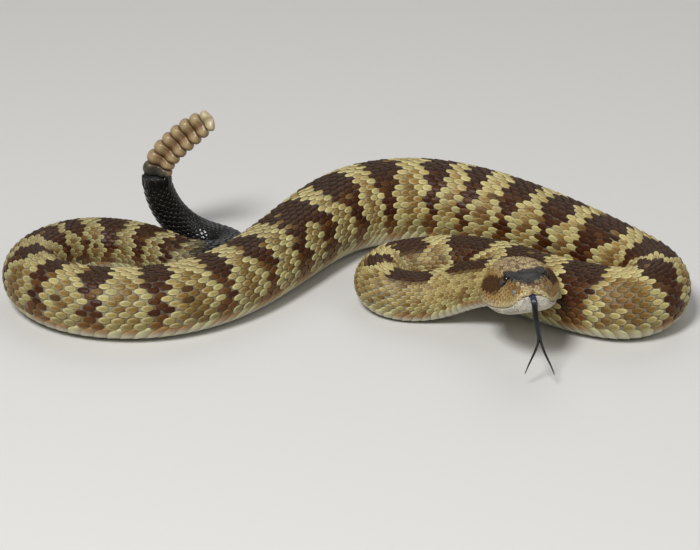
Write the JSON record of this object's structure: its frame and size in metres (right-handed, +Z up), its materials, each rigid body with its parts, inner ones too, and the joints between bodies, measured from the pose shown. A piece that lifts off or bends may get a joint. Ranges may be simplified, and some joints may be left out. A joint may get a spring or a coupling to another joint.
{
  "type": "black-tailed rattlesnake",
  "caption": "Life-size still model of a rattlesnake lying in loose bends, head raised with forked tongue out and rattle held upright.",
  "frame": {"origin": "on the floor, under the middle of the animal's box", "axes": "+X along the animal's length as it lies, to its own left; the head faces -Y; +Z up"},
  "size_m": [0.2768, 0.1572, 0.0649],
  "materials": {
    "face_skin": "satin scales, golden brown with a charcoal patch on the snout",
    "chin_skin": "satin scales, speckled white and grey",
    "body_skin": "satin keeled scales, dark brown blotches edged with straw yellow",
    "tail_skin": "glossy black keeled scales",
    "eye": "glossy, dark with a slit pupil",
    "tongue": "moist black, bluish at the root",
    "rattle_horn": "dry horn, tan, darker in the grooves"
  },
  "bodies": {
    "root": {"head": "face_skin", "lower_jaw": "chin_skin", "eye_left": "eye", "eye_right": "eye", "tongue": "tongue", "neck": "body_skin", "neck_bend": "body_skin", "shoulder": "body_skin", "fore_body": "body_skin", "fore_bend": "body_skin", "side_bend": "body_skin", "mid_body_side": "body_skin", "mid_body_arch": "body_skin", "mid_body_back": "body_skin", "hind_body_front": "body_skin", "hind_body_side": "body_skin", "hind_bend": "body_skin", "hind_body_back": "body_skin", "vent_length": "body_skin", "tail_bend": "tail_skin", "tail": "tail_skin", "rattle_segment_1": "rattle_horn", "rattle_segment_2": "rattle_horn", "rattle_segment_3": "rattle_horn", "rattle_segment_4": "rattle_horn", "rattle_segment_5": "rattle_horn", "rattle_segment_6": "rattle_horn", "rattle_segment_7": "rattle_horn", "rattle_segment_8": "rattle_horn"}
  },
  "joints": []
}
